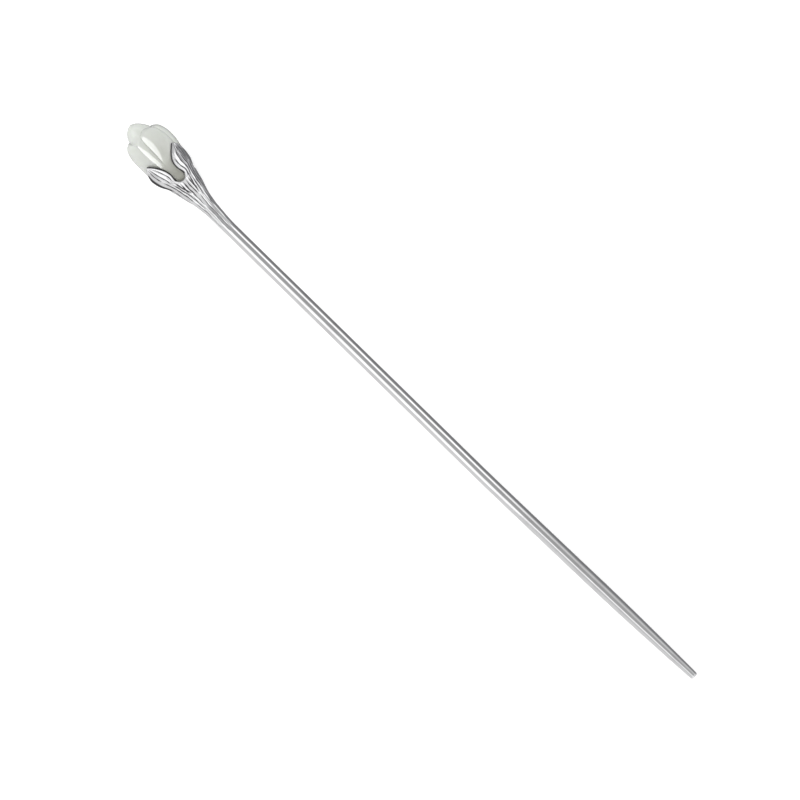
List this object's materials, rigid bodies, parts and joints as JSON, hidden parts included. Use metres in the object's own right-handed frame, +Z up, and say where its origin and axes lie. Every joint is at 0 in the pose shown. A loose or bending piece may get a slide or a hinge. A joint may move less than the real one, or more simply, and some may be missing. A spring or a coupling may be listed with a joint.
{
  "type": "hair stick",
  "caption": "Slim round metal shaft with a blunt tapered point, ending in a calyx of pointed sepals that holds a carved, furled flower bud.",
  "frame": {"origin": "on the surface that the stick lies on, midway along it and midway between the two sides of the bud", "axes": "+X along the stick towards its point, +Z up, away from the surface and out of the front of the bud"},
  "size_m": [0.1799, 0.0112, 0.0108],
  "materials": {
    "silver": "polished silver, blackened in the engraved lines",
    "jade": "polished pale jade"
  },
  "bodies": {
    "root": {"silver_stick": "silver", "jade_bud": "jade"}
  },
  "joints": []
}
